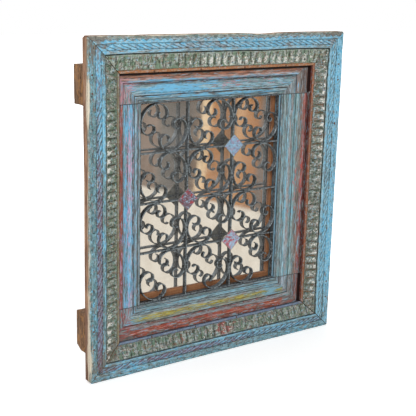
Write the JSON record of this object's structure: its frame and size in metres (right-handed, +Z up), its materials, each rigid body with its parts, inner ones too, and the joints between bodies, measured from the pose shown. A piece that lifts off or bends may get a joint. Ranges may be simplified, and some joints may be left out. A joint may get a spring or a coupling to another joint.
{
  "type": "wall mirror",
  "caption": "Wall mirror made from an old window frame: iron grille of C scrolls over the glass, moulded painted timbers and a mitred surround of carved boards.",
  "frame": {"origin": "middle of the back face of the window frame's head, which bears on the wall", "axes": "+X to the right as seen from the room, +Y into the wall, +Z up"},
  "size_m": [0.92, 0.084, 1.0021],
  "materials": {
    "carved_wood": "carved and worn, with blue-green paint left in the hollows",
    "painted_timber": "old brushed paint in blue and red, worn to bare wood",
    "peg_wood": "bare",
    "grille_iron": "dark wrought iron with rubbed edges",
    "diamond_paint": "worn blue and red paint",
    "new_wood": "raw, stained orange-brown",
    "mirror_glass": "silvered",
    "hardboard": "plain",
    "steel": "zinc plated"
  },
  "bodies": {
    "root": {"surround_top": "carved_wood", "surround_bottom": "carved_wood", "surround_left": "carved_wood", "surround_right": "carved_wood", "frame_head": "painted_timber", "frame_sill": "painted_timber", "frame_jamb_left": "painted_timber", "frame_jamb_right": "painted_timber", "tenon_peg_1": "peg_wood", "tenon_peg_2": "peg_wood", "tenon_peg_3": "peg_wood", "tenon_peg_4": "peg_wood", "hanger_left": "steel", "hanger_right": "steel", "hanger_screw_1": "steel", "hanger_screw_2": "steel", "hanger_screw_3": "steel", "hanger_screw_4": "steel", "grille_edge_top": "grille_iron", "grille_edge_bottom": "grille_iron", "grille_edge_left": "grille_iron", "grille_edge_right": "grille_iron", "grille_upright_1": "grille_iron", "grille_upright_2": "grille_iron", "grille_rail_1": "grille_iron", "grille_rail_2": "grille_iron", "grille_rail_3": "grille_iron", "scroll_01": "grille_iron", "scroll_02": "grille_iron", "scroll_03": "grille_iron", "scroll_04": "grille_iron", "scroll_05": "grille_iron", "scroll_06": "grille_iron", "scroll_07": "grille_iron", "scroll_08": "grille_iron", "scroll_09": "grille_iron", "scroll_10": "grille_iron", "scroll_11": "grille_iron", "scroll_12": "grille_iron", "scroll_13": "grille_iron", "scroll_14": "grille_iron", "scroll_15": "grille_iron", "scroll_16": "grille_iron", "scroll_17": "grille_iron", "scroll_18": "grille_iron", "scroll_19": "grille_iron", "scroll_20": "grille_iron", "scroll_21": "grille_iron", "scroll_22": "grille_iron", "scroll_23": "grille_iron", "scroll_24": "grille_iron", "diamond_1": "diamond_paint", "diamond_2": "diamond_paint", "diamond_3": "diamond_paint", "spacer_top": "new_wood", "spacer_bottom": "new_wood", "spacer_left": "new_wood", "spacer_right": "new_wood", "mirror_pane": "mirror_glass", "backing_board": "hardboard"}
  },
  "joints": []
}
